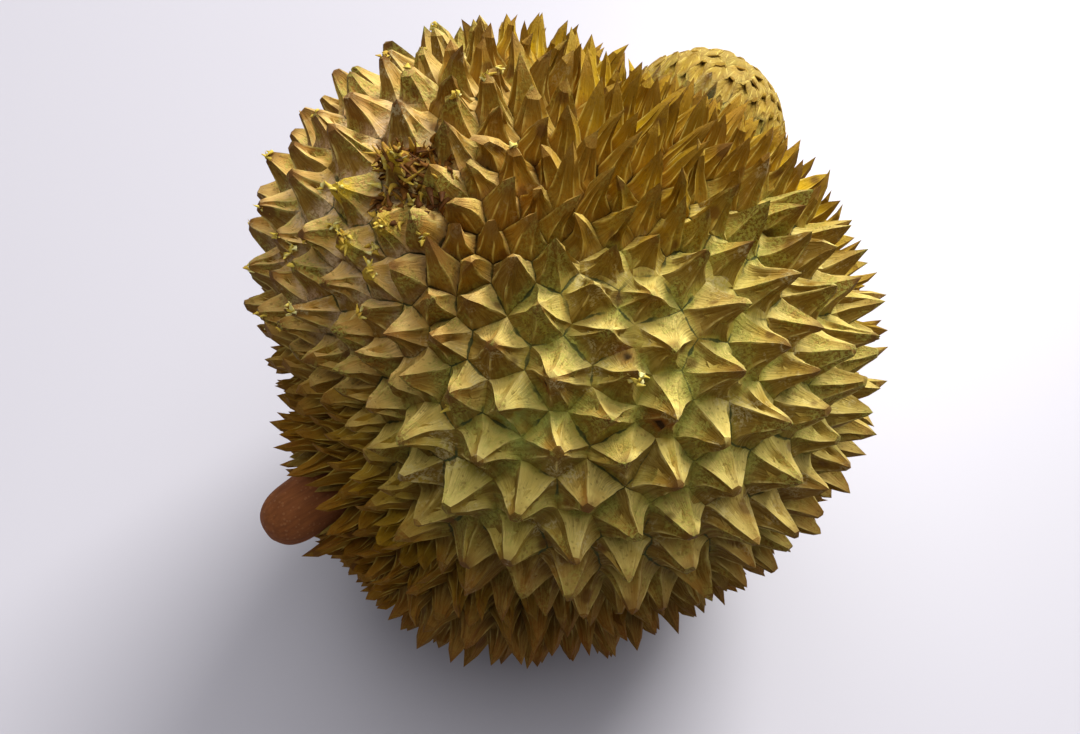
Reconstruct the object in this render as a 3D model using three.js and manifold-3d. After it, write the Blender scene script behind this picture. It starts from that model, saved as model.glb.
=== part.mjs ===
// A whole durian lying on its side: a lobed, thorny fruit and the stub of its stem.
// Millimetres, +Z up. The fruit's own axis lies along X, with the stem at -X. The thorns' blunted
// tips underneath stand on z = 0, and the origin is the centre of the bounding box's base.
import * as THREE from "three";
import { ConvexHull } from "three/addons/math/ConvexHull.js";
import { mergeVertices } from "three/addons/utils/BufferGeometryUtils.js";
import Module from "manifold-3d";

// ---- driving dimensions, in millimetres, with angles in degrees ---------------------------------

// The five lobes, one over each row of seeds, are ellipsoids set out around the axis. turn is the
// angle about the axis from -Y towards +Z. along and out place the ellipsoid's centre on the axis
// and away from it. length, height and width are its half sizes along X, outwards and sideways.
// thorns is the spacing of the thorns on the lobe's crest.
const LOBES = [
  { turn: 57, along: 1, out: 39.5, length: 78, height: 63.5, width: 72, thorns: 14.8 },
  { turn: 125, along: -17, out: 47.5, length: 67, height: 65, width: 66, thorns: 14.5 },
  { turn: 185, along: 13, out: 35, length: 86, height: 63, width: 60, thorns: 13.5 },
  { turn: 256, along: -3, out: 34, length: 89, height: 64, width: 62, thorns: 13.5 },
  { turn: 316, along: 3, out: 32, length: 90, height: 59.5, width: 63, thorns: 12.5 },
];
// The seedless middle, and the nub where the flower was, placed in the same way.
const CORE = { turn: 0, along: -5, out: 0, length: 85, height: 74, width: 74 };
const NUB = { turn: 129, along: 82, out: 57.5, length: 32.5, height: 32.5, width: 32.5 };
const LOBE_BLEND = 3.5; // how far the lobes melt together in the valleys between them
const SWELL = 2.2; // uneven growth of the rind, crest to mean
const SWELL_SPAN = 42; // the size of one uneven patch
const SWELL_COUNT = 40;

// Thorns: the spacing of their bases and their height, in the valleys between the lobes and round
// the two ends of the fruit. An end's rule holds out to one distance and has faded at another.
// The thorns are lowest on the nub itself, and rise over the two distances of its rise.
const VALLEY = { spacing: 8.6, height: 13.6 };
const STEM_END = { spacing: 6.6, height: 11.5, holds: 24, faded: 70 };
const NUB_END = { spacing: 6.6, height: 3.2, holds: 70, faded: 150, rise: [30, 62] };
const CREST_HEIGHT = 13.5;
// A lobe's crest begins where it stands over its neighbours by CREST_STEP. Towards the nub the
// valleys are wider, by WIDER, and this fades between two distances.
const CREST_STEP = 20;
const WIDER = 22;
const WIDER_FADES = [130, 175];
const SPACING_SPREAD = 0.2; // how far one thorn's spacing strays from the rule
const SPACING_SHARE = 0.8; // the closest two bases come, as a share of their spacing
const THROWS = 60000; // tries at finding room for one more thorn
const SETTLINGS = 1;
const NUB_LEAN = 0.6; // how far the thorns round the nub lie over towards its top
const NUB_LEAN_FADES = [35, 75]; // and the distances between which they come upright
const HEIGHT_SPREAD = 0.16; // how far a thorn's height strays from the rule
const LEAN_TO_FACE = 0.3; // how far thorns turn from the fruit's centre to the rind they stand on
const LEAN_SPREAD = 0.13; // a thorn's own stray lean
const WAIST_AT = 0.34; // height of a thorn's waist
const WAIST_WIDTH = 0.46; // width of that waist, as a share of the base
const WAISTED_FROM = 12.8; // thorns that stand closer than this are plain pyramids
const SHORTEST_SIDE = 0.2; // a base's shorter sides are closed up, as a share of the spacing

// Half the stem's outline, as radius and distance out from the rind, then its rounded end.
const STEM_OUTLINE = [
  { radius: 8, out: -9 },
  { radius: 10.3, out: -3.6 },
  { radius: 11.2, out: 3 },
  { radius: 10.4, out: 8 },
  { radius: 10, out: 14 },
];
const STEM_RADIUS = 10;
const STEM_LENGTH = 26; // from the rind to its end
const STEM_END_ROUND = 6;
const STEM_END_STEPS = 4;
const STEM_LEAN = 9;
const STEM_SIDES = 28;
const COLLAR = 11.5; // radius of the bare rind that the stem stands in
const JOINT_GAP = 0.3;

const FLAT_CUT = 6.5; // how much the lowest thorns are blunted by the fruit's weight
const SEED = 20417;

const RIND_COLOUR = 0x9c8a44;
const STEM_COLOUR = 0x6e4328;

// ---- helpers --------------------------------------------------------------------------------------

const wasm = await Module();
wasm.setup();
const RAD = Math.PI / 180;
const SAME_POINT = 1e-3; // points closer than this are one
const mix = (a, b, t) => a + (b - a) * t;
const smooth = (x, from = 0, to = 1) => THREE.MathUtils.smoothstep(x, from, to);

// A small seeded generator, so that every run grows the same fruit.
function seeded(seed) {
  let state = seed >>> 0;
  return () => {
    state = (state + 0x6d2b79f5) >>> 0;
    let t = Math.imul(state ^ (state >>> 15), state | 1);
    t = (t + Math.imul(t ^ (t >>> 7), t | 61)) ^ t;
    return ((t ^ (t >>> 14)) >>> 0) / 4294967296;
  };
}
const random = seeded(SEED);
const signed = () => random() * 2 - 1;

function randomDirection() {
  const x = signed();
  const turn = random() * 2 * Math.PI;
  const r = Math.sqrt(1 - x * x);
  return new THREE.Vector3(x, r * Math.cos(turn), r * Math.sin(turn));
}

// Two directions square to a third and to each other.
function sideAndUp(axis) {
  const least = Math.abs(axis.z) < 0.9 ? new THREE.Vector3(0, 0, 1) : new THREE.Vector3(0, 1, 0);
  const side = least.cross(axis).normalize();
  return { side, up: axis.clone().cross(side) };
}

function solidFrom(geometry) {
  const bare = geometry.index ? geometry.toNonIndexed() : geometry.clone();
  bare.deleteAttribute("normal");
  bare.deleteAttribute("uv");
  const merged = mergeVertices(bare, SAME_POINT);
  return new wasm.Manifold(
    new wasm.Mesh({
      numProp: 3,
      vertProperties: merged.attributes.position.array,
      triVerts: new Uint32Array(merged.index.array),
    }),
  );
}

function geometryFrom(solid) {
  const { vertProperties, triVerts } = solid.getMesh();
  const geometry = new THREE.BufferGeometry();
  geometry.setAttribute("position", new THREE.BufferAttribute(vertProperties, 3));
  geometry.setIndex(new THREE.BufferAttribute(triVerts, 1));
  geometry.computeVertexNormals();
  return geometry;
}

// ---- the rind -------------------------------------------------------------------------------------

// Where a lobe's middle lies.
function middleOf(lobe) {
  const turn = lobe.turn * RAD;
  return new THREE.Vector3(lobe.along, -lobe.out * Math.cos(turn), lobe.out * Math.sin(turn));
}

// Distance from the fruit's centre to one lobe's far side, in a direction.
function reachOf(lobe, dir) {
  const turn = lobe.turn * RAD;
  const outward = -dir.y * Math.cos(turn) + dir.z * Math.sin(turn);
  const sideways = dir.y * Math.sin(turn) + dir.z * Math.cos(turn);
  const d = [dir.x / lobe.length, outward / lobe.height, sideways / lobe.width];
  const c = [lobe.along / lobe.length, lobe.out / lobe.height];
  const a = d[0] * d[0] + d[1] * d[1] + d[2] * d[2];
  const b = d[0] * c[0] + d[1] * c[1];
  const k = c[0] * c[0] + c[1] * c[1] - 1;
  return (b + Math.sqrt(Math.max(b * b - a * k, 0))) / a;
}

const swells = Array.from({ length: SWELL_COUNT }, () => ({ at: randomDirection(), by: signed() }));

function swellAt(dir) {
  let sum = 0;
  for (const { at, by } of swells) {
    const away = (dir.angleTo(at) * CORE.length) / SWELL_SPAN;
    sum += by * Math.exp(-away * away * 2);
  }
  return SWELL * sum;
}

// The rind's distance from the centre: the lobes' farthest reach, melted together where they meet.
function rindAt(dir) {
  const reaches = [...LOBES, CORE, NUB].map((lobe) => reachOf(lobe, dir));
  const top = Math.max(...reaches);
  const blended = reaches.reduce((sum, r) => sum + Math.exp((r - top) / LOBE_BLEND), 0);
  return top + LOBE_BLEND * Math.log(blended) + swellAt(dir);
}

const onRind = (dir) => dir.clone().multiplyScalar(rindAt(dir));

function rindNormal(dir) {
  const { side, up } = sideAndUp(dir);
  const step = 0.06; // a few millimetres each way
  const at = (u, v) => onRind(dir.clone().addScaledVector(side, u).addScaledVector(up, v).normalize());
  const along = at(step, 0).sub(at(-step, 0));
  const across = at(0, step).sub(at(0, -step));
  return along.cross(across).normalize();
}

const STEM_POLE = new THREE.Vector3(-1, 0, 0);
const STEM_ROOT = onRind(STEM_POLE);
const NUB_TOP = onRind(middleOf(NUB).normalize());

// The spacing and height of the thorns where a direction meets the rind.
function thornRule(dir) {
  const point = onRind(dir);
  const ranked = LOBES.map((lobe) => ({ lobe, reach: reachOf(lobe, dir) }));
  ranked.sort((a, b) => b.reach - a.reach);
  const toNub = point.distanceTo(NUB_TOP);
  const wider = WIDER * (1 - smooth(toNub, ...WIDER_FADES));
  const crest = smooth((ranked[0].reach - ranked[1].reach - wider) / CREST_STEP);
  const fromStem = smooth(point.distanceTo(STEM_ROOT), STEM_END.holds, STEM_END.faded);
  const spacing = mix(STEM_END.spacing, mix(VALLEY.spacing, ranked[0].lobe.thorns, crest), fromStem);
  const height = mix(STEM_END.height, mix(VALLEY.height, CREST_HEIGHT, crest), fromStem);
  return {
    spacing: mix(NUB_END.spacing, spacing, smooth(toNub, NUB_END.holds, NUB_END.faded)),
    height: mix(NUB_END.height, height, smooth(toNub, ...NUB_END.rise)),
  };
}

// ---- where the thorns stand -----------------------------------------------------------------------

// Bases are thrown at random and kept where no other stands too close, until no room is left.
function throwSites() {
  const sites = [{ dir: STEM_POLE, at: STEM_ROOT, spacing: COLLAR * 2, bare: true }];
  for (let i = 0; i < THROWS; i += 1) {
    const dir = randomDirection();
    const at = onRind(dir);
    const spacing = thornRule(dir).spacing * (1 + SPACING_SPREAD * signed());
    const clear = sites.every(
      (other) => at.distanceTo(other.at) > (SPACING_SHARE * (spacing + other.spacing)) / 2,
    );
    if (clear) sites.push({ dir, at, spacing, bare: false });
  }
  return sites;
}

// The rind is shared out between the sites: each corner is the middle of three of them.
function shareRind(sites) {
  const numberOf = new Map(sites.map((site, i) => [site.dir, i]));
  const hull = new ConvexHull().setFromPoints(sites.map((site) => site.dir));
  const corners = [];
  const around = sites.map(() => []);
  hull.faces.forEach((face) => {
    corners.push(face.normal.clone());
    for (let edge = face.edge, k = 0; k < 3; k += 1, edge = edge.next) {
      around[numberOf.get(edge.vertex.point)].push(corners.length - 1);
    }
  });
  around.forEach((list, i) => {
    const { side, up } = sideAndUp(sites[i].dir);
    const bearing = (n) => Math.atan2(corners[n].dot(up), corners[n].dot(side));
    list.sort((a, b) => bearing(a) - bearing(b));
  });
  return { corners, around };
}

// Sites drift to the middle of their share, which evens the bases out.
function settle(sites) {
  const { corners, around } = shareRind(sites);
  sites.forEach((site, i) => {
    if (site.bare) return;
    const middle = new THREE.Vector3();
    around[i].forEach((n) => middle.add(corners[n]));
    site.dir = middle.normalize();
    site.at = onRind(site.dir);
    site.spacing = thornRule(site.dir).spacing;
  });
}

// Corners that nearly touch become one, so that no base has a sliver of a side.
function closeShortSides(sites, points, around) {
  const joined = points.map((_, i) => i);
  const root = (i) => (joined[i] === i ? i : root(joined[i]));
  around.forEach((list, i) => {
    list.forEach((a, k) => {
      const b = list[(k + 1) % list.length];
      const short = SHORTEST_SIDE * sites[i].spacing;
      if (points[a].distanceTo(points[b]) < short) joined[root(a)] = root(b);
    });
  });
  return around.map((list) => {
    const roots = list.map(root);
    return roots.filter((n, k) => n !== roots[(k + 1) % roots.length]);
  });
}

// ---- the thorns -----------------------------------------------------------------------------------

// A thorn stands away from the fruit and its rind, strays a little, and lies over near the nub.
function thornWay(site) {
  const stray = randomDirection().multiplyScalar(LEAN_SPREAD);
  const toTop = NUB_TOP.clone().sub(site.at);
  const lie = NUB_LEAN * (1 - smooth(toTop.length(), ...NUB_LEAN_FADES));
  const way = site.dir.clone().lerp(rindNormal(site.dir), LEAN_TO_FACE);
  return way.add(stray).addScaledVector(toTop.normalize(), lie).normalize();
}

// Each thorn is a pyramid on its share of the rind. A wide one is drawn in to a waist, which gives
// its sides their hollow. The stem's own share stays bare.
function growFruit() {
  const sites = throwSites();
  for (let round = 0; round < SETTLINGS; round += 1) settle(sites);
  const { corners, around } = shareRind(sites);
  const vertices = corners.map((corner) => onRind(corner));
  const bases = closeShortSides(sites, vertices, around);
  const triangles = [];
  const add = (point) => vertices.push(point) - 1;

  sites.forEach((site, i) => {
    const base = bases[i];
    const middle = new THREE.Vector3();
    base.forEach((n) => middle.add(vertices[n]));
    middle.divideScalar(base.length);
    const height = site.bare ? 0 : thornRule(site.dir).height * (1 + HEIGHT_SPREAD * signed());
    const way = thornWay(site);
    const tip = add(middle.clone().addScaledVector(way, height));
    const waisted = !site.bare && site.spacing > WAISTED_FROM;
    const drawnIn = (n) => {
      const point = middle.clone().lerp(vertices[n], WAIST_WIDTH);
      return add(point.addScaledVector(way, WAIST_AT * height));
    };
    const waist = waisted ? base.map(drawnIn) : base;
    base.forEach((n, k) => {
      const next = (k + 1) % base.length;
      if (waisted) {
        triangles.push([n, base[next], waist[next]]);
        triangles.push([n, waist[next], waist[k]]);
      }
      triangles.push([waist[k], waist[next], tip]);
    });
  });

  const geometry = new THREE.BufferGeometry();
  const positions = triangles.flat().flatMap((n) => vertices[n].toArray());
  geometry.setAttribute("position", new THREE.Float32BufferAttribute(positions, 3));
  return solidFrom(geometry);
}

// ---- the stem -------------------------------------------------------------------------------------

// The stem, grown by a margin when it is the socket that the stem stands in.
function stemSolid(grow) {
  const profile = STEM_OUTLINE.map(({ radius, out }) => new THREE.Vector2(radius + grow, out));
  profile[0].y -= grow;
  profile.unshift(new THREE.Vector2(0, profile[0].y));
  const bend = STEM_LENGTH - STEM_END_ROUND;
  for (let k = 0; k < STEM_END_STEPS; k += 1) {
    const turn = (k / STEM_END_STEPS) * (Math.PI / 2);
    const inward = STEM_END_ROUND * (1 - Math.cos(turn));
    const out = bend + STEM_END_ROUND * Math.sin(turn);
    profile.push(new THREE.Vector2(STEM_RADIUS - inward + grow, out));
  }
  profile.push(new THREE.Vector2(0, STEM_LENGTH + grow));
  const geometry = new THREE.LatheGeometry(profile, STEM_SIDES);
  geometry.rotateZ((90 + STEM_LEAN) * RAD);
  geometry.translate(STEM_ROOT.x, 0, 0);
  return solidFrom(geometry);
}

// ---- the assembly ---------------------------------------------------------------------------------

// Everything below a height.
function floorBlock(top) {
  const side = CORE.length * 5;
  const geometry = new THREE.BoxGeometry(side, side, side);
  geometry.translate(0, 0, top - side / 2);
  return solidFrom(geometry);
}

function named(name, solid, colour, roughness) {
  const material = new THREE.MeshStandardMaterial({ color: colour, roughness, metalness: 0 });
  const mesh = new THREE.Mesh(geometryFrom(solid), material);
  mesh.name = name;
  return mesh;
}

const grown = growFruit();
const floor = floorBlock(grown.boundingBox().min[2] + FLAT_CUT);
const fruit = grown.subtract(stemSolid(JOINT_GAP)).subtract(floor);

const durian = new THREE.Group();
durian.name = "durian";
durian.add(named("fruit", fruit, RIND_COLOUR, 0.8));
durian.add(named("stem", stemSolid(0), STEM_COLOUR, 0.7));

const box = new THREE.Box3().setFromObject(durian);
const centre = box.getCenter(new THREE.Vector3());
durian.position.set(-centre.x, -centre.y, -box.min.z);

export default durian;
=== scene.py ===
# %% [markdown]
# # A whole durian on its side
# The fruit is one thorny rind with five lobes, and a stub of the stem stands in it. The packed
# model already has the true size and one plain pyramid for each thorn. This lesson keeps every
# thorn where it stands and gives it the shape and the skin of the real one.
# Everything is in metres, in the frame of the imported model.

import math
import random

import bmesh
import bpy
from mathutils import Matrix, Vector, noise


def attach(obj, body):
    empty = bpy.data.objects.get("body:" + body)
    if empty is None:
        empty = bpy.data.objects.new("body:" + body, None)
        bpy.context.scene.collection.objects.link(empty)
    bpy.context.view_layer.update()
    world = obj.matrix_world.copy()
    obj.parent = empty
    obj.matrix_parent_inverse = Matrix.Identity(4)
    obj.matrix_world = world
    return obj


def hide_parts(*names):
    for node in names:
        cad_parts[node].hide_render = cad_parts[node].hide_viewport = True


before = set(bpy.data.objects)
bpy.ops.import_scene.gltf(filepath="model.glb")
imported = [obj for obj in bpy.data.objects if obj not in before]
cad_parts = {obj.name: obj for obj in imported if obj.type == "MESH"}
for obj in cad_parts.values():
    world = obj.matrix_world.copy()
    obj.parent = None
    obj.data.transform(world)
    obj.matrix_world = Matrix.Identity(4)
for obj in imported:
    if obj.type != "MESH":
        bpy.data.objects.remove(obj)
bpy.context.view_layer.update()
MM = 0.001

# %% [markdown]
# An operator works on whatever is selected, and loading a model leaves it selected. So each
# piece begins with nothing selected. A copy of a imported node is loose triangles: its doubled
# corners are merged before anything else, or it would come apart when it is shaped.


# %% Small helpers for working on one object
def select_only(obj):
    bpy.ops.object.select_all(action="DESELECT")
    obj.select_set(True)
    bpy.context.view_layer.objects.active = obj


def in_edit_mode(obj, work):
    """Runs work in edit mode with the whole of obj selected."""
    select_only(obj)
    bpy.ops.object.mode_set(mode="EDIT")
    bpy.ops.mesh.select_all(action="SELECT")
    work()
    bpy.ops.object.mode_set(mode="OBJECT")


def smoothly(low, high, x):
    """0 below low, 1 above high, and a soft step between."""
    t = min(max((x - low) / (high - low), 0.0), 1.0)
    return t * t * (3 - 2 * t)


def mix(a, b, t):
    return a + (b - a) * t


def merged_copy(node, name):
    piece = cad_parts[node].copy()
    piece.data = piece.data.copy()
    piece.name = piece.data.name = name
    piece.parent = None
    piece.data.materials.clear()
    bpy.context.collection.objects.link(piece)
    in_edit_mode(piece, lambda: bpy.ops.mesh.remove_doubles(threshold=0.001 * MM))
    select_only(piece)
    bpy.ops.mesh.customdata_custom_splitnormals_clear()
    print(name, "starts with", len(piece.data.vertices), "corners and", len(piece.data.polygons), "faces")
    return piece


rind = merged_copy("fruit", "thorny_rind")

# %% [markdown]
# ## Finding the thorns
# Each thorn stands on its own plate of rind, and two plates meet in a sharp inward crease. Inside
# one thorn the surface only bends outwards, or a little inwards at the waist. So a walk from face
# to face that never crosses a sharp inward crease stays on one thorn. That numbers the thorns
# without any list of where they stand. The low thorns of the nub have no such crease between
# them, so a walk takes in many at once. They are parted afterwards by their tips, because each
# is a whole fan of faces round its sharpest corner.

# %% Number the thorns and measure each one
CREASE = math.radians(-50)
WAIST_AT, WAIST_WIDTH = 0.34, 0.46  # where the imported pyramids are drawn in, and how far
BARE_FACES = 100  # the ring of bare rind round the stem is the one patch with more faces than this
MOSTLY_FANS = 0.8  # share of a patch that its fans must cover before it is parted into them
LEAST_THORN = 1 * MM
OFF_THE_GROUND = 0.01 * MM  # a thorn that reaches lower is one that the fruit rests on

shape = bmesh.new()
shape.from_mesh(rind.data)
shape.verts.ensure_lookup_table()
thorn_layer = shape.faces.layers.int.new("thorn")
inset_layer = shape.verts.layers.float.new("inset")


def is_crease(edge):
    return edge.calc_face_angle_signed(0) < CREASE


def walk_patch(start, done):
    patch, waiting = [], [start]
    done.add(start)
    while waiting:
        face = waiting.pop()
        patch.append(face)
        for edge in face.edges:
            if is_crease(edge):
                continue
            for other in edge.link_faces:
                if other not in done:
                    done.add(other)
                    waiting.append(other)
    return patch


def angles_round(corner):
    return sum(loop.calc_angle() for loop in corner.link_loops)


def part_low_thorns(patch):
    """Low thorns run together in one walk. Each is a whole fan of faces round its sharp tip."""
    fans = {}
    for face in patch:
        fans.setdefault(min(face.verts, key=angles_round), []).append(face)
    whole = [fan for tip, fan in fans.items() if len(fan) == len(tip.link_faces)]
    if sum(len(fan) for fan in whole) < MOSTLY_FANS * len(patch):
        return [patch]
    return list(fans.values())


def in_order(corners):
    """Each corner once, in the mesh's own order, so that every run adds them up alike."""
    return sorted(set(corners), key=lambda v: v.index)


def measure_thorn(patch):
    """Where a thorn's foot, tip and corners are, and what kind of patch it is."""
    inside = set(patch)
    corners = in_order(v for f in patch for v in f.verts)
    sides = [e for f in patch for e in f.edges if not inside.issuperset(e.link_faces)]
    foot = in_order(v for e in sides for v in e.verts)
    inner = [v for v in corners if v not in foot]
    middle = sum((v.co for v in foot), Vector()) / len(foot)
    tip = max(inner or foot, key=lambda v: (v.co - middle).length)
    thorn = {
        "middle": middle,
        "axis": tip.co - middle,
        "sides": [(e.verts[0].co.copy(), e.verts[1].co.copy()) for e in sides],
        "width": sum((v.co - middle).length for v in foot) / len(foot),
        "waisted": len(inner) > 1,
        "plain": len(patch) < BARE_FACES
        and bool(inner)
        and (tip.co - middle).length > LEAST_THORN
        and min(v.co.z for v in corners) > OFF_THE_GROUND,
    }
    for v in inner:
        v[inset_layer] = 1.0 if v is tip else 1 - WAIST_WIDTH
    return thorn


thorns, done = [], set()
for face in shape.faces:
    if face in done:
        continue
    for patch in part_low_thorns(walk_patch(face, done)):
        for f in patch:
            f[thorn_layer] = len(thorns)
        thorns.append(measure_thorn(patch))
shape.to_mesh(rind.data)
shape.free()
print(len(thorns), "patches,", sum(t["waisted"] and t["plain"] for t in thorns), "of them broad thorns")

# %% [markdown]
# ## From pyramids to thorns
# A real thorn has a broad foot that sweeps up to a fine tip. Its sides are hollow between crisp
# ridges, and its tip leans and curls a little. Every face is first cut in sixteen. Then each
# point is moved by one rule that knows how far in from the foot's edge it lies and how near to a
# ridge. Sculpting a thousand thorns by hand would take days, and a bump map would leave the
# outline straight.

# %% Cut each face finer
CUTS = 3  # cuts along each edge, which make sixteen faces of one
in_edit_mode(rind, lambda: bpy.ops.mesh.subdivide(number_cuts=CUTS, smoothness=0))
print("the rind now has", len(rind.data.vertices), "points and", len(rind.data.polygons), "triangles")

# %% Places on the fruit where the thorns change
TORN_MIDDLE = Vector((-58, 10, 200)) * MM  # where the rind was scraped on the way to market
PLUMP_MIDDLE = Vector((-48, -7, 200)) * MM  # a few thorns in the next valley are full and rounded
WORN_LOBE = Vector((-60, 30, 190)) * MM  # the lobe that was carried uppermost
NUB_TOP = Vector((108, 45, 164)) * MM
BEHIND_NUB = Vector((125, 90, 140)) * MM  # slender thorns are combed over towards here
STEM_FOOT = Vector((-89, 0, 103)) * MM
FLAT_PLATES = Vector((-8, -52, 196)) * MM  # the plates on this crest lie flat between their thorns
ABOVE_STEM = Vector((0, -0.85, 0.53))


def within(place, inner, outer, middle):
    """1 within inner millimetres of a middle, 0 beyond outer."""
    return 1 - smoothly(inner, outer, (place - middle).length / MM)


print("the scrape lies", round((TORN_MIDDLE - STEM_FOOT).length / MM), "mm from the stem")

# %% Give each thorn its own character
chance = random.Random(1907)
SLENDER, BROAD = 4.6 * MM, 6.8 * MM  # how wide the feet of the two kinds of thorn are

for thorn in thorns:
    along = thorn["axis"].normalized()
    side = along.orthogonal().normalized()
    side.rotate(Matrix.Rotation(chance.uniform(0, math.tau), 3, along))
    slim = 1 - smoothly(SLENDER, BROAD, thorn["width"])
    leafy = within(thorn["middle"], 34, 75, STEM_FOOT)
    slim = max(slim, 0.75 * leafy)
    combed = BEHIND_NUB - thorn["middle"]
    combed = (combed - along * combed.dot(along)).normalized()
    on_nub = within(thorn["middle"], 26, 52, NUB_TOP)
    side = (side + combed * (slim * 1.3 + on_nub * 3)).normalized()
    by_stem = within(thorn["middle"], 15, 27, STEM_FOOT)
    torn = within(thorn["middle"], 10, 26, TORN_MIDDLE)
    plump = within(thorn["middle"], 9, 24, PLUMP_MIDDLE)
    worn = within(thorn["middle"], 35, 80, WORN_LOBE)
    thorn["along"] = along
    above_stem = smoothly(2, 12, (thorn["middle"] - STEM_FOOT).dot(ABOVE_STEM) / MM)
    thorn["reach"] = thorn["axis"] * (1 + 0.2 * by_stem + 0.7 * on_nub - 0.15 * worn)
    thorn["reach"] += Vector((-12, 0, -3)) * by_stem * above_stem * MM
    thorn["slim"] = slim
    thorn["tone"] = chance.random()
    thorn["side"] = side
    bend = chance.uniform(mix(0.04, 0.14, slim), mix(0.18, 0.56, slim))
    thorn["curl"] = side * thorn["axis"].length * bend
    thorn["curl"] += side * on_nub * chance.uniform(2, 4) * MM
    thorn["flat"] = side * chance.uniform(0.3, 0.65) * slim * (1 - on_nub)
    thorn["full"] = mix(mix(0.8, 0.7, slim), 0.6, leafy)
    thorn["cup"] = along.cross(side) * chance.uniform(0.1, 0.5) * slim * (1 - on_nub)
    thorn["sweep"] = mix(1.62, 1.12, slim) * chance.uniform(0.93, 1.07)
    thorn["sweep"] += 0.7 * within(thorn["middle"], 14, 44, FLAT_PLATES) * (1 - slim)
    thorn["sweep"] = mix(thorn["sweep"], 0.95, plump)
    thorn["hollow"] = mix(0.28, 0.46, slim) * chance.uniform(0.7, 1.2)
    thorn["hollow"] = mix(mix(thorn["hollow"], 0.12, on_nub), -0.06, plump)
    thorn["torn"] = torn * (1 - plump) if chance.random() < 0.3 + 0.6 * torn else 0.0
    thorn["worn"] = worn * (1 - plump) * chance.random()
    thorn["stub"] = 1 - max(
        0.6 * thorn["torn"] * chance.uniform(0.5, 1),
        0.34 * thorn["worn"],
        0.08 * plump,
        chance.uniform(0.02, mix(0.18, 0.05, slim) + 0.1 * leafy),
    )
print("curl of the first thorn:", [round(x / MM, 2) for x in thorns[0]["curl"]], "mm")


# %% The rule that shapes a thorn
GROOVE = 0.3 * MM  # depth of the seam between two plates
GROOVE_WIDTH = 0.6 * MM
WAVER = 1.2 * MM  # how far the edge between two plates strays from a straight line
WAVER_LENGTH = 6 * MM
FAR_APART = (0, 31.7, 73.1)  # one place in the noise for each axis
AT_THE_TIP = 0.999
RIND_CUT = 1 / (CUTS + 1)


def height_in_pyramid(thorn, inset):
    """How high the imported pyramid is, as a share, where a point lies this far in from its edge."""
    knee = 1 - WAIST_WIDTH
    if not thorn["waisted"]:
        return inset
    if inset < knee:
        return WAIST_AT * inset / knee
    return WAIST_AT + (1 - WAIST_AT) * (inset - knee) / WAIST_WIDTH


def on_the_edge(thorn, point):
    """The nearest side of the thorn's foot, and 1 at its ends down to 0 half way along it."""
    best, ridge = 1e9, 0.0
    for a, b in thorn["sides"]:
        run = b - a
        u = min(max((point - a).dot(run) / run.length_squared, 0.0), 1.0)
        gap = (a + run * u - point).length
        if gap < best:
            best, ridge = gap, abs(2 * u - 1)
    return ridge


def grain(point, size, amount):
    return noise.noise(point / size) * amount


def waver(point):
    """Plain noise for each axis, because noise_vector changes from one run to the next."""
    spot = point / WAVER_LENGTH
    return Vector([noise.noise(spot + Vector((far, far, far))) for far in FAR_APART]) * WAVER


def shape_point(thorn, point, inset):
    """Moves one point of a thorn, and says what the skin needs to know there."""
    middle, reach, along = thorn["middle"], thorn["reach"], thorn["along"]
    if inset > AT_THE_TIP:
        root, outward, ridge = middle, Vector(), 1.0
    else:
        outward = point - middle - thorn["axis"] * height_in_pyramid(thorn, inset)
        outward /= 1 - inset
        root = middle + outward
        ridge = on_the_edge(thorn, root)
    up = inset ** thorn["sweep"]
    rim = outward.length * inset
    last_row = 1 - RIND_CUT * (WAIST_WIDTH if thorn["waisted"] else 1)
    hollow = 1 - thorn["hollow"] * (1 - ridge) ** 1.3 * math.sin(math.pi * inset ** 0.8)
    spread = outward * (1 - inset) ** thorn["full"] * hollow
    blade = smoothly(0.05, 0.5, up)
    scoop = spread.dot(thorn["cup"]) ** 2 / thorn["width"] * 2.5
    place = middle + reach * up + spread + thorn["curl"] * up * up + waver(point) * (1 - inset)
    place += (thorn["side"] * scoop - thorn["flat"] * spread.dot(thorn["side"])) * blade
    lumps = grain(point, 5 * MM, 0.8 * MM) + grain(point, 2.2 * MM, 0.35 * MM)
    lumps *= min(rim / (2 * MM), 1) * (1 - inset)
    place += along * (lumps - GROOVE * math.exp(-rim / GROOVE_WIDTH))
    if up > thorn["stub"]:
        ragged = grain(point + along * 0.05, 1.6 * MM, 1.3 * MM) * thorn["torn"]
        place -= reach * (up - thorn["stub"]) * 0.8 - along * ragged
    ridge *= 1 - 0.4 * smoothly(last_row - 0.1, last_row, inset)  # the ridges run out below the tip
    return place, up, ridge, rim, root


tip_of_first = shape_point(thorns[0], thorns[0]["middle"] + thorns[0]["axis"], 1.0)[0]
print("tip of the first thorn:", [round(x / MM, 1) for x in tip_of_first], "mm")

# %% Note which thorns each point belongs to
mesh = rind.data
inset_of = [a.value for a in mesh.attributes["inset"].data]
on_thorns = [[] for _ in mesh.vertices]
for polygon, number in zip(mesh.polygons, mesh.attributes["thorn"].data):
    for v in polygon.vertices:
        if number.value not in on_thorns[v]:
            on_thorns[v].append(number.value)
print("points on the seams:", sum(len(numbers) > 1 for numbers in on_thorns))

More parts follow.
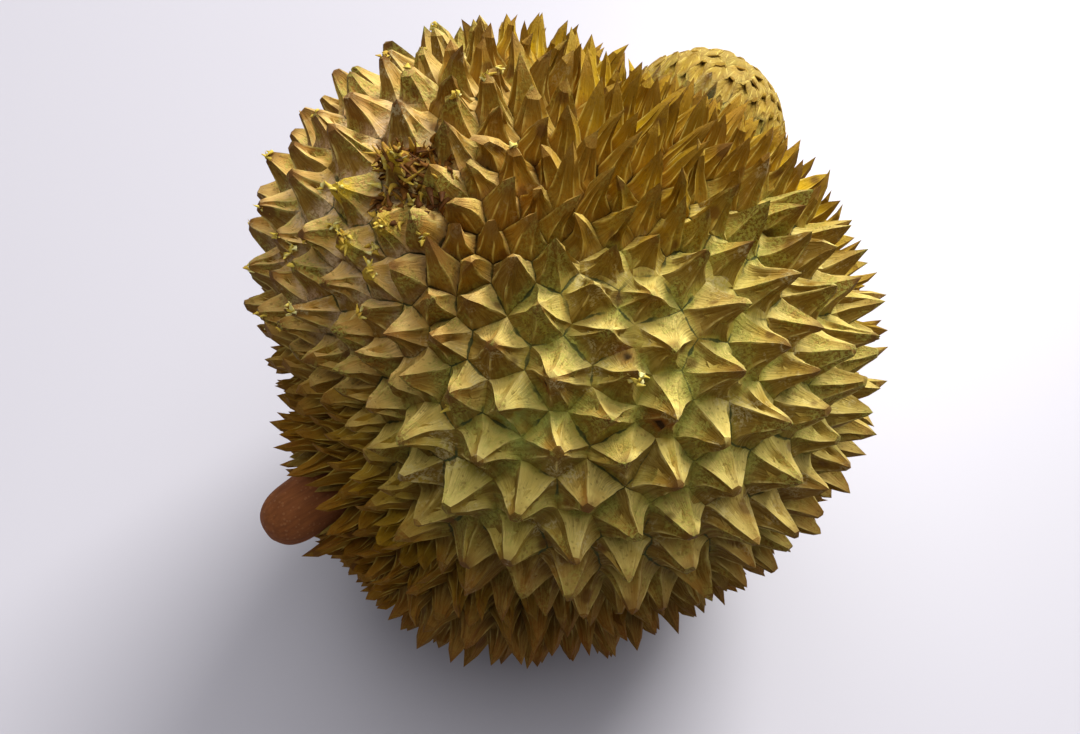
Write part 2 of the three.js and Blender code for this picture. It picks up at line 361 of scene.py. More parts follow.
# %% Shape every thorn
RUN_TOGETHER = 12  # a foot with more sides than this belongs to low thorns that run together
skin = {name: [0.0] * len(mesh.vertices) for name in ("up", "ridge", "rim", "tone", "slim", "torn")}
roots = [Vector()] * len(mesh.vertices)
for v, numbers in enumerate(on_thorns):
    point = mesh.vertices[v].co.copy()
    mine = [thorns[n] for n in numbers]
    ridge, up, rim, root = 1.0, 0.0, 0.0, point
    if len(mine) == 1 and mine[0]["plain"]:
        place, up, ridge, rim, root = shape_point(mine[0], point, inset_of[v])
    elif all(t["plain"] for t in mine):
        down = sum((t["along"] for t in mine), Vector()).normalized()
        ridge = max(on_the_edge(t, point) for t in mine)
        place = point - down * GROOVE + waver(point)
    else:
        place = point
        up = 0.3 * min(inset_of[v], 1)
        rim = 3 * MM * min(inset_of[v], 1)
    place.z = max(place.z, 0.0)
    mesh.vertices[v].co = place
    roots[v] = root
    skin["up"][v], skin["ridge"][v], skin["rim"][v] = up, ridge, rim / MM
    for name in ("tone", "slim", "torn"):
        skin[name][v] = sum(t[name] for t in mine) / len(mine)
    if any(len(t["sides"]) > RUN_TOGETHER for t in mine):
        skin["slim"][v] = 1.0

print("thorns shaped; lowest point", round(min(v.co.z for v in mesh.vertices) / MM, 3), "mm")

# %% [markdown]
# The skin has to know where it is on a thorn: how far up, how near to a ridge or a seam, and on
# which kind of thorn. The shaping worked all that out, so it is written on the points for the
# material to read. One more value says how far each face turns towards the window light. The skin
# uses it to paint light on the faces turned to it and shade on the faces turned away.

# %% Write on the points what the skin needs to know
CRISP = math.radians(28)  # edges sharper than this stay crisp
TOWARDS_THE_WINDOW = Vector((0.62, 0.2, 0.76)).normalized()  # the way to the window light, read by the skin for its painted light and shade
for name, values in skin.items():
    mesh.attributes.new(name, "FLOAT", "POINT").data.foreach_set("value", values)
mesh.attributes.new("root", "FLOAT_VECTOR", "POINT").data.foreach_set(
    "vector", [x for root in roots for x in root]
)
mesh.attributes.remove(mesh.attributes["inset"])
select_only(rind)
bpy.ops.object.shade_smooth_by_angle(angle=CRISP)
mesh.update()
facing_of = [corner.vector.copy() for corner in mesh.corner_normals]
for polygon in mesh.polygons:
    for corner in polygon.loop_indices:
        if inset_of[mesh.loops[corner].vertex_index] > AT_THE_TIP:
            facing_of[corner] = polygon.normal.copy()  # a sharp tip faces no way of its own
mesh.attributes.new("turned_to_light", "FLOAT", "CORNER").data.foreach_set(
    "value", [max(facing.dot(TOWARDS_THE_WINDOW), 0.0) for facing in facing_of]
)
print("written on the rind:", [*skin, "root", "turned_to_light"])

# %% [markdown]
# ## The cut stem
# The stem is a woody peg, a little thicker where it leaves the rind, with a rounded end where it
# was cut. It could be a lathe turned about its axis, but a disc drawn out ring by ring keeps
# every ring free to be pushed about, so the peg can be a little crooked as the real one is.

# %% Draw the stem out of a disc
STEM_LEAN = math.radians(9)
STEM_OUT = Vector((-math.cos(STEM_LEAN), -math.sin(STEM_LEAN), 0))
STEM_RINGS = [  # radius and distance from the rind, in millimetres
    (8.0, -9.0), (10.3, -3.6), (11.0, 0.5), (11.2, 3.0), (10.7, 6.0), (10.3, 9.0), (10.0, 12.0),
    (9.9, 14.4), (9.7, 16.6), (9.2, 18.8), (8.4, 20.9), (7.2, 22.8), (5.7, 24.3), (3.8, 25.4),
    (1.8, 26.0),
]
stem_corners = [v.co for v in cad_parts["stem"].data.vertices]
depth = max(-c.dot(STEM_OUT) for c in stem_corners)
flat_root = [c for c in stem_corners if -c.dot(STEM_OUT) > depth - 0.05 * MM]
root_centre = (Vector(map(min, *flat_root)) + Vector(map(max, *flat_root))) / 2

bpy.ops.object.select_all(action="DESELECT")
bpy.ops.mesh.primitive_circle_add(
    vertices=40,
    radius=STEM_RINGS[0][0] * MM,
    fill_type="NGON",
    location=root_centre,
    rotation=STEM_OUT.to_track_quat("Z", "Y").to_euler(),
)
stem = bpy.context.object
stem.name = stem.data.name = "cut_stem"
bpy.ops.object.transform_apply(location=True, rotation=True, scale=True)


def draw_out_stem():
    for (r0, d0), (r1, d1) in zip(STEM_RINGS, STEM_RINGS[1:]):
        centre = root_centre + STEM_OUT * (d1 - STEM_RINGS[0][1]) * MM
        bpy.ops.mesh.extrude_region_move(
            TRANSFORM_OT_translate={"value": STEM_OUT * (d1 - d0) * MM}
        )
        bpy.ops.transform.resize(value=(r1 / r0,) * 3, center_override=centre)
    bpy.ops.mesh.select_all(action="SELECT")
    bpy.ops.mesh.normals_make_consistent(inside=False)


in_edit_mode(stem, draw_out_stem)
print("stem root at", [round(x / MM, 2) for x in root_centre], "mm, rings:", len(STEM_RINGS))

# %% Round and weather the stem
rounding = stem.modifiers.new("rounding", "SUBSURF")
rounding.levels = rounding.render_levels = 2
select_only(stem)
bpy.ops.object.modifier_apply(modifier=rounding.name)

HIDDEN = -STEM_RINGS[0][1]  # how deep the stem stands in the rind, in millimetres
cut_end = root_centre + STEM_OUT * (STEM_RINGS[-1][1] + HIDDEN) * MM
NICK = cut_end + Vector((0, -4, -9)) * MM  # a nick in the edge of the cut
NICK_SIZE = 4.5 * MM
for v in stem.data.vertices:
    out = (v.co - root_centre).dot(STEM_OUT) / MM - HIDDEN
    spoke = v.co - root_centre - STEM_OUT * (out + HIDDEN) * MM
    if out < -1:
        continue
    free = smoothly(-1, 3, out)
    wood = noise.noise(Vector((out * 0.06, spoke.y / MM * 0.35, spoke.z / MM * 0.35)))
    swell = noise.noise(v.co / (9 * MM))
    if spoke.length > 0.1 * MM:
        v.co += spoke.normalized() * (0.35 * wood + 0.5 * swell) * free * MM
    in_nick = max(0.0, 1 - (v.co - NICK).length / NICK_SIZE)
    v.co -= STEM_OUT * 2.6 * in_nick * in_nick * MM
bpy.ops.object.shade_smooth()
print("stem:", len(stem.data.polygons), "faces")

# %% [markdown]
# ## Torn fibres
# Where thorns were knocked or scraped off, the fibres inside them stand out in small tufts. One
# fibre is a thin cone cut across into short lengths, so that it can bend. Each copy is then bent
# its own way, and all of them are joined into one piece.

# %% Model one fibre
FIBRE = 6 * MM
LENGTHS = 6  # the short lengths that it is cut into
bpy.ops.object.select_all(action="DESELECT")
bpy.ops.mesh.primitive_cone_add(
    vertices=5, radius1=0.3 * MM, radius2=0.06 * MM, depth=FIBRE, location=(0, 0, FIBRE / 2)
)
fibre = bpy.context.object
bpy.ops.object.transform_apply(location=True, rotation=True, scale=True)


def cut_across(height):
    bpy.ops.mesh.select_all(action="SELECT")
    bpy.ops.mesh.bisect(plane_co=(0, 0, height), plane_no=(0, 0, 1))


in_edit_mode(fibre, lambda: [cut_across(FIBRE * k / LENGTHS) for k in range(1, LENGTHS)])
print("one fibre:", len(fibre.data.polygons), "faces")

# %% Bend a copy of the fibre to its place
luck = random.Random(31)
CRUSHED = Vector((-48, 11, 205)) * MM  # the middle of the scrape, where the stumps are matted
CRUSHED_SIZE = 12 * MM
MATTED_FIBRES = 220
PECKED = [  # small frayed spots, in millimetres
    (-66, -37, 176), (-30, -62, 195), (-77, 29, 179), (-86, 10, 178), (-67, 18, 190),
    (-63, 6, 192), (-53, -4, 201), (-51, 25, 201), (-65, 32, 193),
]


def stray(amount):
    return Vector([luck.uniform(-1, 1) for _ in range(3)]) * amount


def grow_fibre(foot, way, length, thick, shade):
    one = fibre.copy()
    one.data = fibre.data.copy()
    bpy.context.collection.objects.link(one)
    way = way.normalized()
    turn = way.to_track_quat("Z", "Y").to_matrix()
    bend = stray(0.7) * length
    for v in one.data.vertices:
        t = v.co.z / FIBRE
        across = turn @ Vector((v.co.x * 1.5, v.co.y * 0.6, 0)) * thick
        v.co = foot + across + way * length * t + bend * t * t
    tone = one.data.attributes.new("tone", "FLOAT", "POINT").data
    tone.foreach_set("value", [min(max(shade + luck.uniform(-0.15, 0.15), 0), 1)] * len(tone))
    return one


print("frayed spots:", len(PECKED), "and one crushed patch of", MATTED_FIBRES, "fibres")

# %% Set the tufts on the torn thorns
HURT = 0.3  # thorns that are torn or worn less than this keep their fibres in
strands = []
for thorn in thorns:
    hurt = max(thorn["torn"], 0.6 * thorn["worn"])
    if not thorn["plain"] or hurt < HURT:
        continue
    tip = shape_point(thorn, thorn["middle"] + thorn["axis"], 1.0)[0]
    for _ in range(luck.randint(3, 6) + round(6 * thorn["torn"])):
        foot = tip - thorn["along"] * 1.0 * MM + stray(1.1 * MM)
        length = luck.uniform(0.9, 1.8) * (1 + 0.7 * thorn["torn"]) * MM
        strands.append(grow_fibre(foot, thorn["along"] + stray(0.9), length, luck.uniform(1.8, 2.8), 0.8))
print("fibres on torn and worn thorns:", len(strands))

# %% Set the fibres of the frayed spots and the crushed patch
for place in PECKED:
    spot = min(mesh.vertices, key=lambda v: (v.co - Vector(place) * MM).length_squared)
    for _ in range(luck.randint(6, 9)):
        foot = spot.co + stray(1.4 * MM)
        length = luck.uniform(0.7, 1.8) * MM
        strands.append(grow_fibre(foot, spot.normal * 0.7 + stray(0.9), length, luck.uniform(1.8, 3), 0.86))
matted = [v for v in mesh.vertices if (v.co - CRUSHED).length < CRUSHED_SIZE]
for v in luck.choices(matted, k=MATTED_FIBRES):
    length = luck.uniform(2, 4.5) * MM
    shade = luck.choice((0.05, 0.12, 0.2, 0.3, 0.45, 0.75))
    way = v.normal * 0.3 + stray(1.0)
    foot = v.co - v.normal * 0.3 * MM + stray(0.8 * MM)
    strands.append(grow_fibre(foot, way, length, luck.uniform(1.8, 3.4), shade))

bpy.data.objects.remove(fibre)
bpy.ops.object.select_all(action="DESELECT")
for strand in strands:
    strand.select_set(True)
bpy.context.view_layer.objects.active = strands[0]
bpy.ops.object.join()
tufts = bpy.context.object
tufts.name = tufts.data.name = "torn_fibres"
bpy.ops.object.shade_smooth()
print("tufts:", len(strands), "fibres,", len(tufts.data.polygons), "faces")

# %% [markdown]
# ## Skin and wood
# The skin's colour follows the plant: pale dusty tan with a hint of green on the broad thorns,
# deep yellow where slender thorns crowd in the valleys, brown at the tips, dark moss green in
# the seams. Light and shade are painted in as well: paler faces turned to the window light, darker
# faces turned away, a darker underside and stem end, and darker feet between the thorns. Each of
# these is a mask, made from what the shaping wrote on every point, broken up with noise. Effects
# that skin and wood share are node groups with their own sockets.


# %% Helpers for building materials
def paint(red, green, blue):
    """A colour picked on a screen, as the shader wants it."""
    shares = [c / 255 for c in (red, green, blue)]
    return (*[c / 12.92 if c <= 0.04045 else ((c + 0.055) / 1.055) ** 2.4 for c in shares], 1.0)


def add_node(tree, kind, inputs=None, **settings):
    made = tree.nodes.new("ShaderNode" + kind)
    for name, value in settings.items():
        setattr(made, name, value)
    for name, value in (inputs or {}).items():
        plug(tree, made.inputs[name], value)
    return made


def plug(tree, socket, value):
    if isinstance(value, bpy.types.NodeSocket):
        tree.links.new(value, socket)
    else:
        socket.default_value = value


def math_node(tree, operation, a, b=0.0, c=None, clamp=False):
    made = tree.nodes.new("ShaderNodeMath")
    made.operation, made.use_clamp = operation, clamp
    for i, value in enumerate((a, b, c)):
        if value is not None and i < len(made.inputs):
            plug(tree, made.inputs[i], value)
    return made.outputs[0]


def blend_colours(tree, mask, under, over):
    made = tree.nodes.new("ShaderNodeMix")
    made.data_type = "RGBA"
    plug(tree, made.inputs[0], mask)
    plug(tree, made.inputs[6], under)
    plug(tree, made.inputs[7], over)
    return made.outputs[2]


def step_mask(tree, value, low, high):
    """0 where value is below low, 1 above high; low may be the larger."""
    made = add_node(tree, "MapRange", {"Value": value, "From Min": low, "From Max": high})
    made.interpolation_type = "SMOOTHSTEP"
    return made.outputs["Result"]


def noise_at(tree, vector, size, detail=3.0, rough=0.5):
    """Noise whose lumps are size metres across, centred on a half."""
    knobs = {"Vector": vector, "Scale": 1 / size, "Detail": detail, "Roughness": rough}
    return add_node(tree, "TexNoise", knobs).outputs[0]


def new_group(name, inputs, outputs):
    group = bpy.data.node_groups.new(name, "ShaderNodeTree")
    for label, kind, value in inputs:
        socket = group.interface.new_socket(label, in_out="INPUT", socket_type=kind)
        if value is not None:
            socket.default_value = value
    for label in outputs:
        group.interface.new_socket(label, in_out="OUTPUT", socket_type="NodeSocketFloat")
    return group, group.nodes.new("NodeGroupInput"), group.nodes.new("NodeGroupOutput")


def use_group(tree, group, inputs):
    made = tree.nodes.new("ShaderNodeGroup")
    made.node_tree = group
    for name, value in inputs.items():
        plug(tree, made.inputs[name], value)
    return made


def new_material(name):
    material = bpy.data.materials.new(name)
    material.use_nodes = True
    material.node_tree.nodes.clear()
    shader = add_node(material.node_tree, "BsdfPrincipled")
    add_node(material.node_tree, "OutputMaterial", {"Surface": shader.outputs[0]})
    return material, material.node_tree, shader


print("a mid tan for the shader:", [round(c, 3) for c in paint(174, 136, 48)])


# %% Fibres, shared by the skin and the wood
VECTOR, FLOAT = "NodeSocketVector", "NodeSocketFloat"
fibres, given, result = new_group(
    "plant_fibres",
    [("Across", VECTOR, None), ("Run", FLOAT, 0.0), ("Width", FLOAT, 0.001)],
    ["Height", "Shade"],
)
scaled = add_node(fibres, "VectorMath", {0: given.outputs["Across"]}, operation="SCALE")
plug(fibres, scaled.inputs["Scale"], math_node(fibres, "DIVIDE", 1.0, given.outputs["Width"]))
slide = add_node(fibres, "CombineXYZ", {0: given.outputs["Run"], 1: given.outputs["Run"]})
moved = add_node(fibres, "VectorMath", {0: scaled.outputs[0], 1: slide.outputs[0]}, operation="ADD")
lines = noise_at(fibres, moved.outputs[0], 1.0, 2.0, 0.6)
plug(fibres, result.inputs["Height"], lines)
plug(fibres, result.inputs["Shade"], step_mask(fibres, lines, 0.35, 0.65))
print("fibre group:", len(fibres.nodes), "nodes")

# %% Dry specks, shared by the skin and the wood
specks, given, result = new_group(
    "dry_specks",
    [("Vector", VECTOR, None), ("Size", FLOAT, 0.001), ("Amount", FLOAT, 0.3)],
    ["Mask"],
)
here = given.outputs["Vector"]
scale = math_node(specks, "DIVIDE", 1.0, given.outputs["Size"])
cells = add_node(specks, "TexVoronoi", {"Vector": here, "Scale": scale, "Randomness": 1.0})
coarser = math_node(specks, "MULTIPLY", scale, 0.3)
clumps = add_node(specks, "TexNoise", {"Vector": here, "Scale": coarser})
speck_size = math_node(specks, "MULTIPLY", clumps.outputs[0], given.outputs["Amount"])
inside_speck = math_node(specks, "SUBTRACT", speck_size, cells.outputs[0])
plug(specks, result.inputs["Mask"], step_mask(specks, inside_speck, 0.0, 0.12))
print("speck group:", len(specks.nodes), "nodes")

# %% What the skin reads from the points
skin_material, tree, shader = new_material("durian_skin")
where = add_node(tree, "TexCoord").outputs["Object"]
told = {
    name: add_node(tree, "Attribute", attribute_name=name, attribute_type="GEOMETRY").outputs["Fac"]
    for name in skin
}
root = add_node(tree, "Attribute", attribute_name="root", attribute_type="GEOMETRY").outputs["Vector"]
turned_to_light = add_node(tree, "Attribute", attribute_name="turned_to_light", attribute_type="GEOMETRY").outputs["Fac"]
up, ridge, rim, slim = (told[name] for name in ("up", "ridge", "rim", "slim"))
print("the skin reads:", sorted(told))


# %% Helpers for laying masks over each other
def ramp(tree, value, stops):
    made = add_node(tree, "ValToRGB", {"Fac": value})
    made.color_ramp.elements[0].position, made.color_ramp.elements[0].color = stops[0]
    made.color_ramp.elements[1].position, made.color_ramp.elements[1].color = stops[-1]
    for position, colour in stops[1:-1]:
        made.color_ramp.elements.new(position).color = colour
    return made.outputs["Color"]


def near(tree, place, inner, outer):
    """1 within inner millimetres of a place on the fruit, 0 beyond outer."""
    gap = add_node(tree, "VectorMath", {0: where, 1: Vector(place) * MM}, operation="DISTANCE")
    return step_mask(tree, gap.outputs["Value"], outer * MM, inner * MM)


def times(*masks):
    """Masks laid over each other."""
    result = masks[0]
    for mask in masks[1:]:
        result = math_node(tree, "MULTIPLY", result, mask)
    return result


def less(mask):
    """All that a mask leaves out."""
    return math_node(tree, "SUBTRACT", 1.0, mask, clamp=True)


def eased(mask, by, base):
    """A mask stretched by one amount and lifted by another."""
    return math_node(tree, "MULTIPLY_ADD", mask, by, base)


def tint(mask, over):
    """Lays a colour over the skin so far."""
    return blend_colours(tree, mask, colour, over)


# %% [markdown]
# Each thorn runs through its own colours from foot to tip: the broad ones from pale buff to brown,
# the slender ones from a dark foot through bright yellow. The pale buff just above a broad foot is
# partly dust and partly painted light on the flat saddles. The dark foot of a slender thorn is
# painted shade between crowded thorns, and its bright yellow is the rind's own yellow with painted
# bounce light in it. The thorns could share one run of colour, but then the valleys wouldn't have
# their painted glow between the crests.

# %% The colour of a thorn from foot to tip
# Broad thorns: the pale band just above the foot is partly dust and partly painted light on the flat
# saddles, and the browner sides are partly painted shade; the brown tips are their own.
broad = ramp(tree, up, [
    (0.0, paint(164, 150, 56)), (0.06, paint(214, 196, 98)), (0.25, paint(204, 176, 76)),
    (0.55, paint(174, 136, 48)), (0.85, paint(148, 104, 34)), (1.0, paint(92, 54, 18)),
])
# Slender thorns: the dark foot is painted shade between crowded thorns; the bright yellow above it is their
# own yellow with painted bounce light in it.
slender = ramp(tree, up, [
    (0.0, paint(66, 38, 0)), (0.12, paint(172, 128, 0)), (0.3, paint(228, 188, 0)),
    (0.6, paint(176, 136, 6)), (0.88, paint(158, 116, 20)), (1.0, paint(96, 56, 10)),
])
colour = blend_colours(tree, slim, broad, slender)
CROWN = (108, 45, 164)  # the top of the nub, in millimetres as all places in the skin are
crown = near(tree, CROWN, 30, 46)
colour = tint(times(crown, step_mask(tree, up, 0.4, 0.05)), paint(184, 146, 66))

print("nodes so far:", len(tree.nodes))

# %% The whole fruit drifts between olive and tan, and each thorn has its own tone
KHAKI_SIDE = (104, 42, 156)
drift = noise_at(tree, where, 0.035, 2.0)
colour = tint(times(step_mask(tree, drift, 0.42, 0.66), 0.5), paint(158, 104, 30))
colour = tint(times(step_mask(tree, drift, 0.5, 0.32), less(slim), 0.35), paint(144, 140, 36))
khaki = near(tree, KHAKI_SIDE, 30, 60)
colour = tint(times(khaki, 0.6), paint(152, 124, 44))
own = math_node(tree, "FRACT", math_node(tree, "MULTIPLY", told["tone"], 7.0))
colour = tint(times(step_mask(tree, own, 0.6, 1.0), 0.35), paint(180, 124, 54))
tone = eased(told["tone"], 0.3, 0.85)
colour = add_node(tree, "HueSaturation", {"Color": colour, "Value": tone}).outputs["Color"]

print("nodes so far:", len(tree.nodes))

# %% [markdown]
# The weather shows next. The lobe that was scraped on the way is dusty tan. The end with the stem
# and the underside are painted darker and browner, mostly as painted shade where little light
# reaches, and the feet of the thorns there are painted darker still. Faces turned away from the
# window light get painted shade, and faces turned to it get painted light, paler and creamier.

# %% Scraped, with painted shade low down and by the stem, and painted light and shade by facing
SCRAPED_LOBE = (-62, 30, 192)
STEM_SIDE = (-100, -6, 100)
scraped = near(tree, SCRAPED_LOBE, 30, 85)
cloudy = noise_at(tree, where, 0.009, 4.0, 0.6)
colour = tint(times(scraped, 0.6), paint(190, 130, 58))
# Painted shade: darker and browner towards the stem end and towards the bottom, where little light reaches;
# the rind is browner there too.
stem_side = near(tree, STEM_SIDE, 20, 80)
height = add_node(tree, "SeparateXYZ", {0: where}).outputs["Z"]
underside = step_mask(tree, height, 0.19, 0.088)
shade_by_stem_and_below = math_node(tree, "MAXIMUM", stem_side, underside)
# Painted shade in the hollows: the feet of the thorns there are darker still.
shade_at_thorn_feet = times(shade_by_stem_and_below, step_mask(tree, up, 0.5, 0.0))
colour = tint(times(shade_by_stem_and_below, 0.88), paint(114, 57, 5))
colour = tint(times(shade_at_thorn_feet, 0.8), paint(40, 20, 2))

# Painted shade: faces turned away from the window light are darkened, less so on the nub's crown.
painted_shade_colour = blend_colours(tree, slim, paint(98, 66, 2), paint(128, 88, 0))
colour = tint(times(step_mask(tree, turned_to_light, 0.4, 0.0), eased(crown, -0.5, 0.75)), painted_shade_colour)

# Painted light: faces turned towards the window light are painted paler and creamier, in cloudy patches,
# least in the painted shade by the stem and below.
painted_light = times(step_mask(tree, turned_to_light, 0.25, 0.95), eased(step_mask(tree, cloudy, 0.35, 0.6), 0.5, 0.4))
painted_light_colour = blend_colours(tree, slim, paint(242, 222, 128), paint(212, 176, 36))
painted_light_colour = blend_colours(tree, scraped, painted_light_colour, paint(246, 206, 128))
painted_light_colour = blend_colours(tree, khaki, painted_light_colour, paint(178, 150, 74))
colour = tint(times(painted_light, less(times(shade_by_stem_and_below, 0.85))), painted_light_colour)

print("nodes so far:", len(tree.nodes))

# %% [markdown]
# A thorn is woody. Fibres run from its foot to its tip, some pale and some dark. A pattern laid
# straight on the fruit would run across the thorns, so the fibres follow the root of each point:
# the spot on the thorn's foot from which that point rises.

# %% Fibres up each thorn
climb = times(up, 1.6)
streaks = use_group(tree, fibres, {"Across": root, "Run": climb, "Width": 0.0011})
threads = use_group(tree, fibres, {"Across": root, "Run": times(climb, 1.7), "Width": 0.00042})
paler = blend_colours(tree, 0.5, colour, paint(220, 196, 100))
colour = tint(times(streaks.outputs["Shade"], eased(slim, -0.15, 0.3)), paler)
thread_there = times(step_mask(tree, up, 0.9, 0.1), step_mask(tree, cloudy, 0.35, 0.6))
dark_thread = times(less(threads.outputs["Shade"]), thread_there)
colour = tint(times(dark_thread, 0.4), paint(88, 58, 10))

print("nodes so far:", len(tree.nodes))

# %% Ridges rubbed pale and given a painted highlight, tips dried brown
rubbed_and_lit = step_mask(tree, noise_at(tree, where, 0.005, 3.0), 0.38, 0.62)
# On slender thorns every ridge is paled as well: a painted highlight where the thin edges catch the light.
rubbed_and_lit = math_node(tree, "MAXIMUM", rubbed_and_lit, times(slim, 0.75))
# The pale ridges are partly rubbed wear and partly painted highlight, kept off the painted shade by the
# stem and below.
ridge_wear_and_highlight = times(step_mask(tree, ridge, 0.74, 0.98), step_mask(tree, up, 0.02, 0.25), rubbed_and_lit)
crest_colour = blend_colours(tree, slim, paint(228, 206, 120), paint(240, 218, 112))
colour = tint(times(ridge_wear_and_highlight, less(times(shade_by_stem_and_below, 0.5)), 0.72), crest_colour)

colour = tint(times(scraped, step_mask(tree, up, 0.5, 0.9), 0.6), paint(112, 70, 34))
dry_tip = times(step_mask(tree, up, 0.55, 0.95), step_mask(tree, told["tone"], 0.2, 0.7), less(slim))
colour = tint(times(dry_tip, 0.7), paint(104, 64, 24))

print("nodes so far:", len(tree.nodes))

# %% [markdown]
# The broad plates are old skin. Crust and chalky bloom sit on them in patches, dust lies between
# the thorns of the scraped lobe, and green spreads from the seams where water stands.

# %% Crust, chalk, dust and green bloom
MOSSY_SPOT = (-54, -52, 178)
DUSTY_LOBE = (-66, 30, 192)
crust_at = noise_at(tree, where, 0.012, 5.0, 0.65)
crust_fine = noise_at(tree, where, 0.0009, 3.0, 0.7)
grainy = step_mask(tree, crust_fine, 0.42, 0.56)
broad_and_unshaded = times(less(slim), less(shade_by_stem_and_below))
crust = times(step_mask(tree, crust_at, 0.48, 0.6), grainy, broad_and_unshaded)
colour = tint(times(crust, 0.6), paint(186, 182, 84))
chalky = times(step_mask(tree, crust_at, 0.44, 0.34), step_mask(tree, crust_fine, 0.56, 0.44))
chalk = times(chalky, broad_and_unshaded)
colour = tint(times(chalk, 0.4), paint(226, 214, 160))
mossy = near(tree, MOSSY_SPOT, 2, 13)
colour = tint(times(mossy, step_mask(tree, cloudy, 0.4, 0.6), 0.5), paint(166, 190, 96))
low_down = times(near(tree, DUSTY_LOBE, 20, 55), step_mask(tree, up, 0.3, 0.02))
dusty = times(low_down, step_mask(tree, cloudy, 0.4, 0.55))
colour = tint(times(dusty, eased(grainy, 0.35, 0.25)), paint(232, 204, 168))
by_seams = times(step_mask(tree, rim, 2.6, 0.3), step_mask(tree, crust_at, 0.44, 0.58))
bloom = times(by_seams, broad_and_unshaded, less(scraped))
colour = tint(times(bloom, 0.42), paint(136, 144, 60))
print("nodes so far:", len(tree.nodes))

# %% Seams between the plates, dark blue green where they are not filled with dust
wobble = noise_at(tree, where, 0.003, 3.0)
seam_width = eased(wobble, 1.1, -0.32)
seam = step_mask(tree, math_node(tree, "SUBTRACT", rim, seam_width), 0.12, -0.12)
seam_there = step_mask(tree, noise_at(tree, where, 0.011, 3.0), 0.44, 0.56)
seam_colour = blend_colours(tree, slim, paint(52, 66, 38), paint(60, 34, 0))
colour = tint(times(seam, eased(seam_there, 0.78, 0.06), less(times(crown, 0.75))), seam_colour)
print("nodes so far:", len(tree.nodes))

# %% Bruises, flecks, holes, and fresh yellow where a tip is torn
HOLES = [  # place and size of each dark hole
    ((-46.6, -50.1, 188.7), 1.6), ((-26, -54.5, 191.5), 1.9), ((-26.2, -70.5, 181.8), 2.6),
]
bruise = use_group(tree, specks, {"Vector": where, "Size": 0.011, "Amount": 0.4}).outputs["Mask"]
colour = tint(times(bruise, 0.65), paint(98, 60, 24))
fleck = use_group(tree, specks, {"Vector": where, "Size": 0.0018, "Amount": 0.54}).outputs["Mask"]
colour = tint(times(fleck, 0.4), paint(112, 80, 26))
for place, size in HOLES:
    colour = tint(times(near(tree, place, size * 0.6, size * 2.6), 0.6), paint(128, 62, 22))
    colour = tint(times(near(tree, place, size * 0.4, size), 0.9), paint(34, 18, 10))
fresh = times(told["torn"], step_mask(tree, up, 0.35, 0.6), step_mask(tree, wobble, 0.4, 0.5))
colour = tint(times(fresh, 0.8), paint(214, 178, 40))
print("nodes so far:", len(tree.nodes))

# %% Give the skin its colour, roughness and relief
plug(tree, shader.inputs["Base Color"], colour)
plug(tree, shader.inputs["Roughness"], eased(crust_fine, 0.3, 0.56))
shader.inputs["Specular IOR Level"].default_value = 0.12
relief = times(threads.outputs["Height"], 0.45)
relief = math_node(tree, "ADD", times(streaks.outputs["Height"], 0.7), relief)
relief = math_node(tree, "ADD", relief, times(crust_fine, 0.3))
relief = math_node(tree, "ADD", relief, times(crust, 0.4))
bump = add_node(tree, "Bump", {"Height": relief, "Strength": 0.7, "Distance": 0.0008})
plug(tree, shader.inputs["Normal"], bump.outputs["Normal"])
mesh.materials.append(skin_material)
print("skin:", len(tree.nodes), "nodes")

# %% The stem's bark
bark, tree, shader = new_material("stem_bark")
where = add_node(tree, "TexCoord").outputs["Object"]
along_stem = add_node(tree, "Mapping", {"Vector": where, "Scale": (0.15, 1.0, 1.0)}).outputs[0]
grain_of_wood = use_group(tree, fibres, {"Across": along_stem, "Run": 0.0, "Width": 0.0013})
mottle = noise_at(tree, where, 0.006, 4.0, 0.6)
colour = blend_colours(tree, mottle, paint(108, 56, 24), paint(144, 88, 46))
colour = tint(times(grain_of_wood.outputs["Shade"], 0.35), paint(78, 44, 22))
dots = use_group(tree, specks, {"Vector": where, "Size": 0.0016, "Amount": 0.55}).outputs["Mask"]
colour = tint(times(dots, 0.2), paint(176, 126, 82))
plug(tree, shader.inputs["Base Color"], colour)
plug(tree, shader.inputs["Roughness"], eased(mottle, 0.3, 0.6))
shader.inputs["Specular IOR Level"].default_value = 0.15
relief = eased(grain_of_wood.outputs["Height"], 0.6, times(dots, 0.4))
bump = add_node(tree, "Bump", {"Height": relief, "Strength": 0.5, "Distance": 0.0005})
plug(tree, shader.inputs["Normal"], bump.outputs["Normal"])
stem.data.materials.append(bark)
print("bark:", len(tree.nodes), "nodes")

# %% The torn fibres
fibre_material, tree, shader = new_material("torn_fibre")
where = add_node(tree, "TexCoord").outputs["Object"]
shade = add_node(tree, "Attribute", attribute_name="tone", attribute_type="GEOMETRY").outputs["Fac"]
blotch = noise_at(tree, where, 0.0012, 3.0)
shade = math_node(tree, "ADD", shade, eased(blotch, 0.4, -0.2))
colour = ramp(tree, shade, [
    (0.0, paint(78, 44, 10)), (0.35, paint(128, 82, 24)), (0.65, paint(184, 146, 50)),
    (0.85, paint(214, 190, 76)), (1.0, paint(226, 220, 150)),
])
plug(tree, shader.inputs["Base Color"], colour)
plug(tree, shader.inputs["Roughness"], eased(blotch, 0.2, 0.6))
shader.inputs["Specular IOR Level"].default_value = 0.15
bump = add_node(tree, "Bump", {"Height": blotch, "Strength": 0.5, "Distance": 0.0002})
plug(tree, shader.inputs["Normal"], bump.outputs["Normal"])
tufts.data.materials.append(fibre_material)
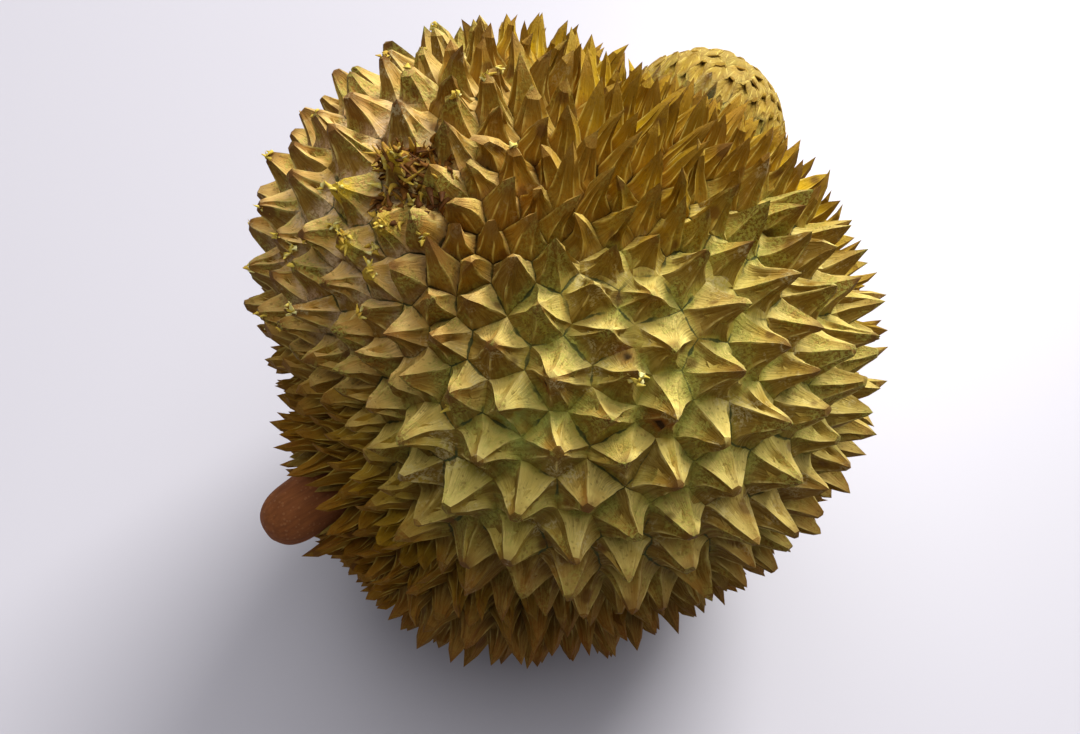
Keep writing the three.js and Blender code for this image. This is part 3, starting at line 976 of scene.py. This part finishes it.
print("fibres:", len(tree.nodes), "nodes")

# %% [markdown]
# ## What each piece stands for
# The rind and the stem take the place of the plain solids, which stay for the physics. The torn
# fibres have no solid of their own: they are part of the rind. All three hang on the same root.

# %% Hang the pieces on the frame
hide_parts("fruit")
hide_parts("stem")
for piece, slot in ((rind, "rind"), (stem, "stem"), (tufts, "rind")):
    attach(piece, "root")
print("pieces:", rind.name, stem.name, tufts.name)

# %% [markdown]
# ## The room
# A plain pale floor, one large soft window of light from behind on the right, a wide and weaker
# light overhead, and a pale sky to fill the shadows.

# %% Floor
bpy.ops.object.select_all(action="DESELECT")
bpy.ops.mesh.primitive_plane_add(size=6, location=(0, 0, 0))
floor = bpy.context.object
floor.name = "floor"
floor_material, tree, shader = new_material("pale_floor")
shader.inputs["Base Color"].default_value = paint(184, 182, 190)
shader.inputs["Roughness"].default_value = 0.5
floor.data.materials.append(floor_material)
print("floor:", [round(x, 1) for x in floor.dimensions], "m")

# %% Camera
CAMERA_AT = Vector((-116.421, -132.616, 346.817)) * MM
CAMERA_RIGHT = Vector((0.83015, -0.55307, 0.07053))
CAMERA_UP = Vector((0.41814, 0.70126, 0.57740))
CAMERA_BACK = Vector((-0.36880, -0.44983, 0.81341))
lens = bpy.data.cameras.new("camera")
lens.lens = 27.03
lens.sensor_width = 36
lens.clip_start = 0.01
camera = bpy.data.objects.new("camera", lens)
bpy.context.collection.objects.link(camera)
turn = Matrix((CAMERA_RIGHT, CAMERA_UP, CAMERA_BACK)).transposed()
camera.matrix_world = Matrix.Translation(CAMERA_AT) @ turn.to_4x4()
bpy.context.scene.camera = camera
bpy.context.scene.view_settings.view_transform = "Standard"
print("camera:", round((CAMERA_AT - Vector((0, 0, 0.1))).length, 3), "m from the fruit's middle")


# %% Lights
def soft_window(name, place, size, watts, colour):
    light = bpy.data.lights.new(name, "AREA")
    light.shape, light.size, light.energy, light.color = "SQUARE", size, watts, colour
    made = bpy.data.objects.new(name, light)
    bpy.context.collection.objects.link(made)
    made.location = place
    made.rotation_euler = (Vector((0, 0, 0.1)) - made.location).to_track_quat("-Z", "Y").to_euler()
    print(name, "at", [round(x, 2) for x in place], "m,", watts, "W")


AWAY = Vector((0.668, 0.744, 0))
RIGHT = Vector((0.744, -0.668, 0))
soft_window("window", AWAY * 2.3 + RIGHT * 1.0 + Vector((0, 0, 2.3)), 1.7, 160, (1.0, 0.985, 0.95))
soft_window("ceiling", AWAY * 0.4 + Vector((0, 0, 1.9)), 2.4, 32, (0.98, 0.98, 1.0))

# %% Sky
world = bpy.data.worlds.new("pale_sky")
world.use_nodes = True
sky = world.node_tree.nodes["Background"]
sky.inputs["Color"].default_value = (0.96, 0.95, 1.0, 1)
sky.inputs["Strength"].default_value = 0.22
bpy.context.scene.world = world
print("sky strength:", round(sky.inputs["Strength"].default_value, 2))

# %% Finish
bpy.context.view_layer.update()
